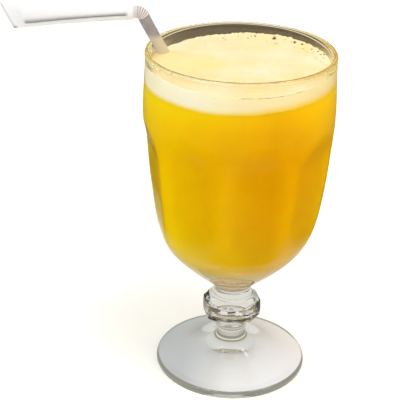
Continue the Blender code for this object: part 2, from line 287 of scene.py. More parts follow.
def pressFacets(rings):
    facet = math.tau / goblet["facets"]
    for vert in (vert for ring in rings for vert in ring):
        radius = math.hypot(vert.co.x, vert.co.y)
        if radius < goblet["stemRadius"]:
            continue
        azimuth = math.atan2(vert.co.y, vert.co.x) - math.radians(goblet["ribAzimuth"])
        offMiddle = (azimuth % facet) - facet / 2
        onBowl = vert.co.z >= goblet["bowlFootHeight"]
        rounding = goblet["bowlRounding"] if onBowl else goblet["knobRounding"]
        over = radius - (radius - pressDepth(vert.co.z)) / math.cos(offMiddle)
        cut = (over + math.hypot(over, rounding)) / 2
        vert.co.x *= 1.0 - cut / radius
        vert.co.y *= 1.0 - cut / radius


juice = {  # mm; the inside of the bowl has a point at its level too
    "level": 147.5,
    "intoWall": 0.12,  # how far the drink reaches into the glass, so that no air shows between them
    "curveTop": 94.0,  # below this the bowl curves in, and the drink reaches down into the glass as well
    "borderRise": 2.8, "borderStart": -6.0,  # how much higher its edge stands at +X, and from which X
    "topRise": 0.5, "topRadius": 20.0, "topInset": 0.1,  # its top, up inside the foam
    "nearMirror": 18.0, "farMirror": 26.0,  # glass between a mirror image of the juice and the juice
    "steps": 128,
}


def glassMaterial():
    # Soda-lime glass, pressed in a mould and fire-polished: clear and glossy, with a slow unevenness of the
    # skin that bends reflections a little. IOR 1.52 is typical of it.
    material, tree = newMaterial("pressedSodaLimeGlass")
    place = addNode(tree, "TexCoord")
    waves = addNode(tree, "TexNoise", inputs={
        "Vector": (place, "Object"), "Scale": 1 / (9 * mm), "Detail": 1.0,
    })
    bump = addNode(tree, "Bump", inputs={"Height": (waves, "Fac"), "Strength": 0.25, "Distance": 0.12 * mm})
    parts = addNode(tree, "SeparateXYZ", inputs={"Vector": (place, "Object")})
    low, high = ((goblet["rimHeight"] - below) * mm for below in goblet["tintBelowRim"])
    near, far = (reach * mm for reach in goblet["tintAside"])
    lip = addNode(tree, "MapRange", inputs={"Value": (parts, "Z"), "From Min": low, "From Max": high})
    aside = addNode(tree, "Math", "ABSOLUTE", {0: (parts, "X")})
    deep = addNode(tree, "MapRange", inputs={
        "Value": (aside, 0), "From Min": near, "From Max": far, "To Min": goblet["tintLeast"],
    })
    share = addNode(tree, "Math", "MULTIPLY", {0: (lip, "Result"), 1: (deep, "Result")})
    # painted reflection: the lip's glass is tinted with the drink's colour near the rim, most at the sides,
    # where the lip would carry that colour along its length
    paintedLipTint = addNode(tree, "Mix", colourMix, {0: (share, 0), 6: "FBFCFA", 7: "EEDC8C"})
    shader = addNode(tree, "BsdfPrincipled", inputs={
        "Base Color": (paintedLipTint, 2), "Roughness": 0.0, "IOR": 1.52,
        "Transmission Weight": 1.0, "Normal": (bump, "Normal"),
    })
    ray = addNode(tree, "LightPath")
    # painted glow: past trapDepth bounces inside the foot, the glass gives a flat grey emission in place of
    # the light that would run round and round there
    late = addNode(tree, "Math", "GREATER_THAN", {0: (ray, "Ray Depth"), 1: goblet["trapDepth"]})
    footTop = goblet["footTopHeight"] * mm
    inFoot = addNode(tree, "Math", "LESS_THAN", {0: (parts, "Z"), 1: footTop})
    trapGlowMask = addNode(tree, "Math", "MULTIPLY", {0: (late, 0), 1: (inFoot, 0)})
    paintedTrapGlow = addNode(tree, "Emission", inputs={"Color": "918F84"})
    body = addNode(tree, "MixShader", inputs={
        0: (trapGlowMask, 0), 1: (shader, "BSDF"), 2: (paintedTrapGlow, "Emission"),
    })
    # lamps shine through, so the drink isn't left in the dark
    clear = addNode(tree, "BsdfTransparent", inputs={"Color": "F4F5F2"})
    mixed = addNode(tree, "MixShader", inputs={
        0: (ray, "Is Shadow Ray"), 1: (body, "Shader"), 2: (clear, "BSDF"),
    })
    addNode(tree, "OutputMaterial", inputs={"Surface": (mixed, "Shader")})
    material.cycles.emission_sampling = "NONE"  # the painted grey glow lights nothing
    return material


def makeGoblet():
    bm = bmesh.new()
    outside = footOutline() + stemOutline() + bowlOutline()
    outer = turned(bm, outside, goblet["steps"], goblet["ribAzimuth"])
    pressFacets(outer)
    seam = outside[-1]
    for vert in outer[-1]:  # the seam under the lip is round
        radius = math.hypot(vert.co.x, vert.co.y)
        vert.co.x *= seam[0] / radius
        vert.co.y *= seam[0] / radius
    turned(bm, [seam] + lipOutline() + hollowOutline()[1:], goblet["steps"], goblet["ribAzimuth"])
    bmesh.ops.remove_doubles(bm, verts=bm.verts[:], dist=goblet["mergeDistance"])
    return addPiece("goblet", bm, glassMaterial(), ["glass"])


makeGoblet()


# the juice

def mirroredInGlass(tree):
    # 1 where the camera sees a thing only as a mirror image inside the stem, 1 where only by way of the
    # foot, and how far that image is
    ray = addNode(tree, "LightPath")
    early = addNode(tree, "Math", "LESS_THAN", {0: (ray, "Diffuse Depth"), 1: 0.5})
    glossy = addNode(tree, "Math", "MULTIPLY", {0: (early, 0), 1: (ray, "Is Glossy Ray")})
    back = addNode(tree, "Math", "MULTIPLY", {0: (glossy, 0), 1: (ray, "Is Reflection Ray")})
    twice = addNode(tree, "Math", "GREATER_THAN", {0: (ray, "Transmission Depth"), 1: 1.5})
    through = addNode(tree, "Math", "MULTIPLY", {0: (early, 0), 1: (twice, 0)})
    near, far = juice["nearMirror"] * mm, juice["farMirror"] * mm
    away = addNode(tree, "MapRange", inputs={
        "Value": (ray, "Ray Length"), "From Min": near, "From Max": far,
    })
    return (back, 0), (through, 0), (away, "Result")


def sideToSide(tree, parts, half):
    # 0 at the -X side, 1 at the +X side, each half away from the middle
    return addNode(tree, "MapRange", inputs={"Value": (parts, "X"), "From Min": -half, "From Max": half})


def juiceMaterial():
    # Cloudy juice, pressed from oranges: a suspension of fine pulp that light enters and leaves some
    # millimetres on, red furthest. It wets the wall, so there is no gloss between juice and glass.
    material, tree = newMaterial("cloudyOrangeJuice")
    place = addNode(tree, "TexCoord")
    pulp = addNode(tree, "TexNoise", inputs={
        "Vector": (place, "Object"), "Scale": 1 / (14 * mm), "Detail": 3.0,
    })
    parts = addNode(tree, "SeparateXYZ", inputs={"Vector": (place, "Object")})
    floor, level = goblet["bowlFloorHeight"] * mm, juice["level"] * mm
    share = addNode(tree, "MapRange", inputs={"Value": (parts, "Z"), "From Min": floor, "From Max": level})
    heightTone = addNode(tree, "ValToRGB", inputs={"Fac": (share, "Result")}, stops=[  # paler by the floor; brighter and yellower at the top, painted light from above
        (0.0, "D2B878"), (0.012, "E0BA50"), (0.04, "E8BC10"), (0.12, "ECC002"),
        (0.35, "EEBA00"), (0.75, "EDB500"), (1.0, "F5C604"),
    ])
    across = sideToSide(tree, parts, goblet["rimRadius"] * mm)
    paintedSideLight = addNode(tree, "ValToRGB", inputs={"Fac": (across, "Result")}, stops=[  # painted light and shade: brighter and yellower at -X, redder and darker right of middle
        (0.1, (1.04, 1.22, 1.0, 1.0)), (0.5, (0.97, 1.0, 1.0, 1.0)), (0.68, (0.93, 0.88, 1.0, 1.0)),
        (0.8, (1.0, 0.98, 1.0, 1.0)), (0.92, (1.03, 1.1, 1.0, 1.0)),
    ])
    cloud = addNode(tree, "MapRange", inputs={"Value": (pulp, "Fac"), "To Min": 0.94, "To Max": 1.05})
    clouded = addNode(tree, "VectorMath", "SCALE", {0: (heightTone, "Color"), "Scale": (cloud, "Result")})
    colour = addNode(tree, "VectorMath", "MULTIPLY", {0: (clouded, "Vector"), 1: (paintedSideLight, "Color")})
    inStem, inFoot, far = mirroredInGlass(tree)  # painted reflection: where the juice is seen mirrored in the stem its colour is swapped for tan nearby and dark grey further away, and seen through the foot for pale grey
    paintedMirrorTone = addNode(tree, "Mix", colourMix, {0: far, 6: "D8B876", 7: "6E665A"})
    paintedStemMirror = addNode(tree, "Mix", colourMix, {0: inStem, 6: (colour, "Vector"), 7: (paintedMirrorTone, 2)})
    paintedMirrorColours = addNode(tree, "Mix", colourMix, {0: inFoot, 6: (paintedStemMirror, 2), 7: "ECEAE4"})
    shader = addNode(tree, "BsdfPrincipled", inputs={
        "Base Color": (paintedMirrorColours, 2), "Roughness": 0.5, "IOR": 1.35, "Specular IOR Level": 0.0,
        "Subsurface Weight": 0.6, "Subsurface Radius": (1.0, 0.55, 0.12), "Subsurface Scale": 3.0 * mm,
    })
    addNode(tree, "OutputMaterial", inputs={"Surface": (shader, "BSDF")})
    return material


def borderLift(x):
    # how much higher the juice's edge stands on the wall, as it was poured against one side
    start, end = juice["borderStart"], goblet["rimRadius"]
    return juice["borderRise"] * max(x - start, 0.0) / (end - start)


def makeJuice():
    into = juice["intoWall"]
    wall = []
    for radius, height in hollowOutline():
        if height <= juice["level"]:
            down = into if height < juice["curveTop"] else 0.0
            wall.append((radius + into if radius else 0.0, height - down))
    top = juice["level"] + juice["topRise"]
    cap = [(0.0, top), (juice["topRadius"], top), (wall[0][0] - juice["topInset"], top)]
    bm = bmesh.new()
    rings = turned(bm, cap + wall, juice["steps"])
    for vert in rings[2] + rings[3]:  # the edge of the cap and the top of the wall
        vert.co.z += borderLift(vert.co.x)
    return addPiece("juiceBody", bm, juiceMaterial(), ["juice"])


makeJuice()


# the foam

foam = {  # mm, degrees and shares
    "level": 157.0, "swells": ((0.22, 16.0, 2.0), (0.1, 5.0, 5.0)),  # height, width, seed
    # its edge against the wall: leaning, twisted, and higher at the front's two sides
    "edgeDrop": 0.5, "edgeLean": 1.2, "edgeTwist": 0.6, "edgeAzimuth": 55.0, "edgeWidth": 4.0,
    "edgeSides": 1.3, "sideRange": ((0.25, 0.85), (-0.1, 0.35)),
    "torn": 0.35, "tornBehind": 0.2, "tornWaves": ((4.0, 3.0), (1.3, 8.0)),  # wave length, seed
    "collarPlace": (-34.4, 6.05), "collarHeight": 2.2, "collarWidth": 5.0,  # froth round the straw
    # its side, seen through the wall, which fades into the juice
    "bottomWaves": ((0.35, 9.0, 21.0), (0.12, 2.0, 33.0)),  # height, wave length, seed
    "fadeHeight": 2.2, "fadeRise": 1.2, "fadeRange": (-10.0, 20.0),
    # where its upper edge meets the wall it gets a thin line of painted shade
    "lineStretch": (-92.0, -46.0), "lineFade": 0.1, "lineWidth": 0.7,
    "lineShade": 0.8, "lineWave": (2.5, 51.0),
    "bubbles": 900, "bubbleShare": 0.25, "bubbleRange": (26.0, 38.0), "bubbleSize": (0.35, 0.95),
    "specks": 34, "speckAzimuth": (4.0, 118.0), "speckInset": (0.8, 6.5), "speckSize": (0.16, 0.32),
    "domeHeight": 0.3, "pitSpread": 1.45, "pitDepth": 0.7, "pitShade": 1.8,
    "yellowPlace": (-19.0, -4.0), "yellowWidth": (15.0, 11.0), "yellowShare": 0.35,
    "grid": 230, "seed": 11,
}

burstBubbles = [  # x, y, radius in mm, in the order seen from the left
    (-17.2, 26.7, 0.28), (-8.9, 33.6, 0.45), (-7.7, 31.5, 0.5), (2.9, 34.8, 0.4), (4.3, 37.3, 0.32),
    (6.2, 37.5, 0.45), (15.2, 34.7, 0.8), (16.0, 28.8, 0.4), (24.9, 29.1, 0.65), (28.1, 26.5, 0.5),
    (28.4, 22.2, 0.35), (32.5, 20.5, 0.5), (35.1, 17.2, 0.45), (36.1, 13.2, 0.5), (37.6, 12.6, 0.5),
]


def foamMaterial():
    # Froth whipped up in pouring: tiny bubbles in juice, which scatter all light, so it is matt and nearly
    # white, warm from the juice between the bubbles. Attributes of the mesh hold painted shade in the pits
    # of burst bubbles and along the top edge at the wall, where the froth is thin and juice shows, and
    # where it is pressed against the wall.
    material, tree = newMaterial("whippedJuiceFroth")
    place = addNode(tree, "TexCoord")
    parts = addNode(tree, "SeparateXYZ", inputs={"Vector": (place, "Object")})
    burst = addNode(tree, "Attribute", {"attribute_name": "burst"})
    thin = addNode(tree, "Attribute", {"attribute_name": "thin"})
    dense = addNode(tree, "Attribute", {"attribute_name": "dense"})
    drift = addNode(tree, "TexNoise", inputs={
        "Vector": (place, "Object"), "Scale": 1 / (16 * mm), "Detail": 3.0,
    })
    base = addNode(tree, "ValToRGB", inputs={"Fac": (drift, "Fac")}, stops=[
        (0.3, "F3DFBE"), (0.5, "F2DAAB"), (0.75, "F2D495"),
    ])
    across = sideToSide(tree, parts, goblet["rimRadius"] * mm)
    wallToneAndSideShade = addNode(tree, "ValToRGB", inputs={"Fac": (across, "Result")}, stops=[  # painted shade: darker and yellower towards +X
        (0.05, "FEF6DC"), (0.26, "FEF8E4"), (0.5, "FCEFC6"), (0.75, "FAECBE"), (0.95, "F2E4B4"),
    ])
    pressed = addNode(tree, "Mix", colourMix, {
        0: (dense, "Fac"), 6: (base, "Color"), 7: (wallToneAndSideShade, "Color"),
    })
    yellow = addNode(tree, "Mix", colourMix, {0: (thin, "Fac"), 6: (pressed, 2), 7: "FDD63A"})
    # painted shade from the burst attribute: in bubble pits and along the top edge at the wall
    shade = addNode(tree, "Mix", colourMix, {0: (burst, "Fac"), 6: (yellow, 2), 7: "4C3E26"})
    cells = addNode(tree, "TexVoronoi", {"feature": "F1"}, {
        "Vector": (place, "Object"), "Scale": 1 / (0.55 * mm),
    })
    bump = addNode(tree, "Bump", {"invert": True}, {
        "Height": (cells, "Distance"), "Strength": 0.35, "Distance": 0.12 * mm,
    })
    shader = addNode(tree, "BsdfPrincipled", inputs={
        "Base Color": (shade, 2), "Roughness": 0.45, "IOR": 1.34, "Normal": (bump, "Normal"),
        "Subsurface Weight": 0.35, "Subsurface Radius": (1.0, 0.8, 0.4), "Subsurface Scale": 1.5 * mm,
    })
    addNode(tree, "OutputMaterial", inputs={"Surface": (shader, "BSDF")})
    return material


def wallNoise(azimuth, waveLength, seed):
    # noise along the wall, its scale in mm of arc
    reach = (goblet["rimRadius"] - goblet["wall"]) / waveLength
    return noise.noise(Vector((*around(reach, azimuth), seed)))


def foamTop(radius, azimuth):
    # height of the foam's skin: swells, a torn edge that climbs the wall, and a collar round the straw
    x, y = around(radius, azimuth)
    swell = 0.0
    for high, wide, seed in foam["swells"]:
        swell += high * noise.noise(Vector((x / wide, y / wide, seed)))
    turn = azimuth - math.radians(foam["edgeAzimuth"])
    climb = foam["edgeLean"] * math.cos(turn) + foam["edgeTwist"] * math.cos(2 * turn) - foam["edgeDrop"]
    aside, front = foam["sideRange"]
    toSide, toFront = smoothStep(abs(math.cos(azimuth)), *aside), smoothStep(-math.sin(azimuth), *front)
    climb += foam["edgeSides"] * toSide * toFront
    torn = foam["torn"] + foam["tornBehind"] * math.sin(azimuth)
    ragged = climb + torn * sum(wallNoise(azimuth, *wave) for wave in foam["tornWaves"])
    fromStraw = math.hypot(x - foam["collarPlace"][0], y - foam["collarPlace"][1])
    collar = foam["collarHeight"] * math.exp(-(fromStraw / foam["collarWidth"]) ** 2)
    wall = goblet["rimRadius"] - goblet["wall"]
    return foam["level"] + swell + collar + ragged * smoothStep(radius, wall - foam["edgeWidth"], wall)


def scatterBubbles(rand, rim):
    # whole bubbles, most of them near the wall, and the finest burst ones by the wall behind
    bubbles, specks = [], []
    for _ in range(foam["bubbles"]):
        azimuth, reach = rand.uniform(0, math.tau), rim * math.sqrt(rand.random())
        least = foam["bubbleShare"]
        if rand.random() < least + (1.0 - least) * smoothStep(reach, *foam["bubbleRange"]):
            bubbles.append((*around(reach, azimuth), rand.uniform(*foam["bubbleSize"])))
    for _ in range(foam["specks"]):
        azimuth = math.radians(rand.uniform(*foam["speckAzimuth"]))
        reach = rim - rand.uniform(*foam["speckInset"])
        specks.append((*around(reach, azimuth), rand.uniform(*foam["speckSize"])))
    return bubbles, specks


def foamSkin(bm, rim):
    # a square grid pressed into a disc
    count = foam["grid"]
    grid = []
    for row in range(count + 1):
        line = []
        for column in range(count + 1):
            u, v = 2 * column / count - 1, 2 * row / count - 1
            x, y = rim * u * math.sqrt(1 - v * v / 2), rim * v * math.sqrt(1 - u * u / 2)
            line.append(bm.verts.new((x, y, foamTop(math.hypot(x, y), math.atan2(y, x)))))
        grid.append(line)
    for low, high in zip(grid, grid[1:]):
        for column in range(count):
            bm.faces.new((low[column], low[column + 1], high[column + 1], high[column]))
    return grid


def finishSkin(bm, bubbles, burst, layers):
    points = np.array([vert.co[:2] for vert in bm.verts])
    lift, dark = np.zeros(len(points)), np.zeros(len(points))
    for x, y, size in bubbles:  # whole bubbles stand out as low domes
        away = np.hypot(points[:, 0] - x, points[:, 1] - y) / size
        lift = np.maximum(lift, foam["domeHeight"] * size * np.clip(1 - away ** 2, 0, 1))
    for x, y, size in burst:  # burst ones are pits with painted shade in them
        away = np.hypot(points[:, 0] - x, points[:, 1] - y) / (foam["pitSpread"] * size)
        lift -= foam["pitDepth"] * size * np.clip(1 - away ** 2, 0, 1)
        dark = np.maximum(dark, np.clip(foam["pitShade"] * (1 - away), 0, 1))
    fromYellow = (points - foam["yellowPlace"]) / foam["yellowWidth"]
    yellowAt = foam["yellowShare"] * np.exp(-(fromYellow ** 2).sum(axis=1))
    for vert, up, shade, yellow in zip(bm.verts, lift, dark, yellowAt):
        vert.co.z += up
        vert[layers["burst"]] = shade
        vert[layers["thin"]] = yellow


def foamSide(bm, edge, layers):
    # the side that shows through the wall, and the underside
    low, mid, lip = [], [], []
    first, last = (math.radians(angle) for angle in foam["lineStretch"])
    for vert in edge:
        azimuth = math.atan2(vert.co.y, vert.co.x)
        bottom = juice["level"] + borderLift(vert.co.x)
        bottom += sum(high * wallNoise(azimuth, wave, seed) for high, wave, seed in foam["bottomWaves"])
        fade = foam["fadeHeight"] + foam["fadeRise"] * smoothStep(vert.co.x, *foam["fadeRange"])
        low.append(bm.verts.new((vert.co.x, vert.co.y, bottom)))
        mid.append(bm.verts.new((vert.co.x, vert.co.y, bottom + fade)))
        lip.append(bm.verts.new((vert.co.x, vert.co.y, vert.co.z - foam["lineWidth"] / 2)))
        low[-1][layers["thin"]] = 1.0
        for pressed in (low[-1], mid[-1], lip[-1], vert):
            pressed[layers["dense"]] = 1.0
        shown = smoothStep(azimuth, first, first + foam["lineFade"])
        shown *= 1.0 - smoothStep(azimuth, last - foam["lineFade"], last)
        # painted shade: a thin dark line along the top edge where it meets the wall
        vert[layers["burst"]] = foam["lineShade"] * shown * (0.8 + wallNoise(azimuth, *foam["lineWave"]))
    for above, below in ((edge, lip), (lip, mid), (mid, low)):
        for step in range(len(edge)):
            after = (step + 1) % len(edge)
            bm.faces.new((above[step], below[step], below[after], above[after]))
    bm.faces.new(low)


def makeFoam():
    rim = goblet["rimRadius"] - goblet["wall"] + juice["intoWall"]
    bubbles, specks = scatterBubbles(random.Random(foam["seed"]), rim)
    bm = bmesh.new()
    layers = {name: bm.verts.layers.float.new(name) for name in ("burst", "thin", "dense")}
    grid = foamSkin(bm, rim)
    finishSkin(bm, bubbles, burstBubbles + specks, layers)
    edge = grid[0][:-1] + [line[-1] for line in grid[:-1]]
    edge += grid[-1][:0:-1] + [line[0] for line in grid[:0:-1]]
    foamSide(bm, edge, layers)
    return addPiece("foamHead", bm, foamMaterial(), ["foam"], 60)


makeFoam()


# straw and its paper sleeve

straw = {  # mm
    "radius": 2.65, "wallThickness": 0.3,
    "entry": Vector((-34.4, 6.05, 157.0)), "lean": Vector((-0.507, -0.15, 1.0)),
    "lowEnd": 67.5, "cornerHeight": 177.9,
    "upperDirection": Vector((-1.0, -0.11, -0.05)), "upperLength": 51.2,
    "bendRadius": 3.6, "pleats": 6, "pleatStations": 8, "pleatHeight": 0.4,
    "pleatOut": 0.55, "pleatClosing": 0.45,  # shares of the height, as pleats close up on the inner side
    "valleyShare": 0.4,  # of a pleat's height that has painted shade in it
    "lowerShares": (0.0, 0.3, 0.6, 0.8, 0.9), "upperShares": (0.02, 0.5, 1.0),
    # below the top of the painted foam light the straw is painted paler, for the light the foam throws on
    # it
    "foamLightTop": 168.3, "foamLightFade": 3.0, "steps": 40,
}


def strawPoint(height):
    return straw["entry"] + straw["lean"] * (height - straw["entry"].z)


def strawBend():
    # where the bend starts, its centre, axis and angle
    up, out = straw["lean"].normalized(), straw["upperDirection"].normalized()
    angle = up.angle(out)
    start = strawPoint(straw["cornerHeight"]) - up * straw["bendRadius"] * math.tan(angle / 2)
    axis = up.cross(out).normalized()
    return start, start + axis.cross(up) * straw["bendRadius"], axis, angle


def strawMaterial():
    # Polypropylene, extruded thin: milky and translucent, with a soft gloss along the tube. IOR 1.49. Low
    # on the straw, in the foam and the glass, it is painted paler, standing in for the light the foam
    # throws on it, and the stretched plastic of the pleats is whiter, with painted shade in the valleys.
    material, tree = newMaterial("extrudedPolypropylene")
    place = addNode(tree, "TexCoord")
    streaks = addNode(tree, "TexNoise", inputs={
        "Vector": (place, "Object"), "Scale": 1 / (3 * mm), "Detail": 2.0,
    })
    tone = addNode(tree, "ValToRGB", inputs={"Fac": (streaks, "Fac")}, stops=[
        (0.3, "A4A1AA"), (0.7, "B2AFB8"),
    ])
    crest = addNode(tree, "Attribute", {"attribute_name": "crest"})
    valley = addNode(tree, "Attribute", {"attribute_name": "valley"})
    parts = addNode(tree, "SeparateXYZ", inputs={"Vector": (place, "Object")})
    # painted light: paler low on the straw, where the foam lights it
    lightStart, lightFull = straw["foamLightTop"] * mm, (straw["foamLightTop"] - straw["foamLightFade"]) * mm
    paintedFoamLight = addNode(tree, "MapRange", {"interpolation_type": "SMOOTHSTEP"}, {
        "Value": (parts, "Z"), "From Min": lightStart, "From Max": lightFull,
    })
    mixed = (tone, "Color")
    # painted shade: the pleats' valleys are mixed towards dark grey
    over = (((paintedFoamLight, "Result"), "E8DDC8"), ((crest, "Fac"), "F6EDED"), ((valley, "Fac"), "5E585A"))
    for share, colour in over:
        mixed = (addNode(tree, "Mix", colourMix, {0: share, 6: mixed, 7: colour}), 2)
    shader = addNode(tree, "BsdfPrincipled", inputs={
        "Base Color": mixed, "Roughness": 0.28, "IOR": 1.49, "Transmission Weight": 0.25,
    })
    addNode(tree, "OutputMaterial", inputs={"Surface": (shader, "BSDF")})
    return material


def strawStations():
    # places along the straw: centre, direction, height of the pleat
    start, centre, axis, angle = strawBend()
    up = straw["lean"].normalized()
    low = strawPoint(straw["lowEnd"])
    stations = [(low.lerp(start, share), up, 0.0) for share in straw["lowerShares"]]
    fine = straw["pleatStations"] * straw["pleats"]
    for step in range(fine + 1):
        turn = Matrix.Rotation(angle * step / fine, 3, axis)
        fold = abs((step / straw["pleatStations"]) % 1 - 0.5) * 2  # 1 in a valley, 0 on a crest
        stations.append((centre + turn @ (start - centre), turn @ up, straw["pleatHeight"] * (1 - fold)))
    last, out, _ = stations[-1]
    reach = straw["upperLength"] - straw["bendRadius"] * math.tan(angle / 2)
    return stations + [(last + out * reach * share, out, 0.0) for share in straw["upperShares"]]


def tube(bm, rings):
    # a skin over rings of points, returned as rings of vertices
    loops = [[bm.verts.new(point) for point in ring] for ring in rings]
    for low, high in zip(loops, loops[1:]):
        for step in range(len(low)):
            after = (step + 1) % len(low)
            bm.faces.new((low[step], low[after], high[after], high[step]))
    return loops


def joinRings(bm, one, other):
    for step in range(len(one)):
        after = (step + 1) % len(one)
        bm.faces.new((one[step], other[step], other[after], one[after]))


def strawRing(station, radius):
    centre, along, pleat = station
    axis = strawBend()[2]
    side = axis.cross(along).normalized()
    ring = []
    for step in range(straw["steps"]):
        angle = math.tau * step / straw["steps"]
        reach = radius + pleat * (straw["pleatOut"] - straw["pleatClosing"] * math.cos(angle))
        ring.append(centre + (side * math.cos(angle) + axis * math.sin(angle)) * reach)
    return ring


def makeStraw():
    bm = bmesh.new()
    crestLayer = bm.verts.layers.float.new("crest")
    valleyShadeLayer = bm.verts.layers.float.new("valley")
    stations = strawStations()
    outer = tube(bm, [strawRing(station, straw["radius"]) for station in stations])
    inside = straw["radius"] - straw["wallThickness"]
    inner = tube(bm, [strawRing(station, inside) for station in stations])
    joinRings(bm, outer[0], inner[0])
    joinRings(bm, outer[-1], inner[-1])
    bend = [index for index, station in enumerate(stations) if station[2] > 0.0]
    for index, (ring, station) in enumerate(zip(outer, stations)):
        # painted shade in each pleat's valley
        share, deep = station[2] / straw["pleatHeight"], straw["valleyShare"]
        shade = smoothStep(deep - share, 0.0, deep) if bend[0] <= index <= bend[-1] else 0.0
        for vert in ring:
            vert[crestLayer] = 1.0 if index >= bend[0] else 0.0
            vert[valleyShadeLayer] = shade
    return addPiece("bendyStraw", bm, strawMaterial(), ["straw"], 60)


makeStraw()

sleeve = {  # mm and degrees
    # distance past the bend, half height, half thickness, rise off the straw's axis
    "sections": (
        (1.2, 3.25, 3.25, 0.0), (12.0, 3.3, 3.3, 0.05), (25.0, 3.7, 3.3, 0.3),
        (37.0, 4.5, 3.25, 0.7), (46.0, 5.3, 3.25, 1.0), (49.4, 5.4, 3.2, 1.0),
        (51.5, 5.5, 1.7, 1.0), (53.5, 5.5, 0.9, 1.0), (56.5, 5.5, 0.6, 1.0),
    ),
    "paper": 0.12, "seal": 2.0, "slant": 2.7, "slantStart": 6.0, "tilt": 12.0,
    "wrinkle": 0.14, "wrinkleWidths": (3.0, 1.6), "wrinkleRange": (1.2, 6.0),
    "crease": 0.4, "creaseWidth": 8.0, "creaseRange": (4.0, 10.0), "creaseEnd": (49.0, 52.0),
    # the line along the straw's lower side, round from the top, where the paper has its crease and painted
    # shade, and how the painted grey fades from there
    "lineAngles": (248.0, 224.0), "greyBelow": (-4.0, 3.0), "greyAbove": (3.0, 44.0),
    "greyStart": (3.0, 5.0), "greyEnd": (48.0, 50.5), "greyCurve": 1.5,
    # grey along the seal's edge, and painted shadow of the straw's end at the seal's lower corner
    "sealGrey": 0.35, "sealRange": (1.2, 0.5),
    "cornerGrey": 1.5, "cornerAngle": (190.0, 22.0), "cornerReach": 3.0,
    "stations": 120, "steps": 72,
}


def sleeveSection(reach):
    sections = sleeve["sections"]
    for before, after in zip(sections, sections[1:]):
        if reach <= after[0]:
            share = (reach - before[0]) / (after[0] - before[0])
            return [a + (b - a) * share for a, b in zip(before[1:], after[1:])]
    return list(sections[-1][1:])


def paperMaterial():
    # Bleached tissue of about 30 g/m2 round the straw: matt, soft white, thin enough to glow where light is
    # behind, with fibres and fine wrinkles that catch the light. An attribute paints grey on it: painted
    # shade along the crease below the straw, a painted shadow of the straw's end at the lower corner, and a
    # grey line at the seal's edge.
    material, tree = newMaterial("bleachedSleevePaper")
    place = addNode(tree, "TexCoord")
    fibre = addNode(tree, "TexNoise", inputs={
        "Vector": (place, "Object"), "Scale": 1 / (0.8 * mm), "Detail": 5.0,
    })
    tone = addNode(tree, "ValToRGB", inputs={"Fac": (fibre, "Fac")}, stops=[
        (0.3, "F6F6F8"), (0.7, "FCFCFF"),
    ])
    sleeveShadeNode = addNode(tree, "Attribute", {"attribute_name": "paintedSleeveShade"})
    # painted shade: the attribute mixes the paper towards grey
    shadedPaper = addNode(tree, "Mix", colourMix, {0: (sleeveShadeNode, "Fac"), 6: (tone, "Color"), 7: "969494"})
    bump = addNode(tree, "Bump", inputs={"Height": (fibre, "Fac"), "Strength": 0.25, "Distance": 0.05 * mm})
    paper = addNode(tree, "BsdfPrincipled", inputs={
        "Base Color": (shadedPaper, 2), "Roughness": 0.8, "Specular IOR Level": 0.2, "Normal": (bump, "Normal"),
    })
    glow = addNode(tree, "BsdfTranslucent", inputs={"Color": (shadedPaper, 2), "Normal": (bump, "Normal")})
    mixed = addNode(tree, "MixShader", inputs={0: 0.3, 1: (paper, "BSDF"), 2: (glow, "BSDF")})
    addNode(tree, "OutputMaterial", inputs={"Surface": (mixed, "Shader")})
    return material


def lineAngle(reach):
    first, last = sleeve["lineAngles"]
    return first + (last - first) * smoothStep(reach, 0.0, straw["upperLength"])


def sleevePoint(base, reach, angle, inset):
    start, along, tall, across = base
    halfHeight, halfThickness, rise = sleeveSection(reach)
    slantStart = straw["upperLength"] - sleeve["slantStart"]
    slant = sleeve["slant"] * smoothStep(reach, slantStart, sleeve["sections"][-1][0])
    length, turn = sleeve["wrinkleWidths"]
    wrinkle = noise.noise(Vector((reach / length, *around(turn, angle))))
    wrinkle *= sleeve["wrinkle"] * smoothStep(reach, *sleeve["wrinkleRange"])
    offLine = (math.degrees(angle) - lineAngle(reach)) / sleeve["creaseWidth"]
    crease = sleeve["crease"] * math.exp(-offLine ** 2) * smoothStep(reach, *sleeve["creaseRange"])
    shrink = inset - wrinkle + crease * (1.0 - smoothStep(reach, *sleeve["creaseEnd"]))
    height = math.cos(angle) * (halfHeight - shrink)
    depth = math.sin(angle) * (halfThickness - shrink)
    return start + along * (reach + slant * math.cos(angle)) + tall * (height + rise) + across * depth


def paintedSleeveShade(reach, turn):
    # how much painted grey the paper gets: painted shade along the crease below the straw, a grey line at
    # the seal's edge, and a painted shadow of the straw's end at the lower corner
    degrees = math.degrees(turn)
    past = degrees - lineAngle(reach)
    above = (1.0 - smoothStep(past, *sleeve["greyAbove"])) * smoothStep(past, *sleeve["greyBelow"])
    along = smoothStep(reach, *sleeve["greyStart"]) * (1.0 - smoothStep(reach, *sleeve["greyEnd"]))
    end = sleeve["sections"][-1][0]
    outer, inner = (end - back for back in sleeve["sealRange"])
    seal = sleeve["sealGrey"] * smoothStep(reach, outer, inner)
    middle, width = sleeve["cornerAngle"]
    corner = sleeve["cornerGrey"] * smoothStep(reach, end - sleeve["cornerReach"], end)
    corner *= math.exp(-((degrees - middle) / width) ** 2)
    return min(max(above ** sleeve["greyCurve"] * along, seal, corner), 1.0)


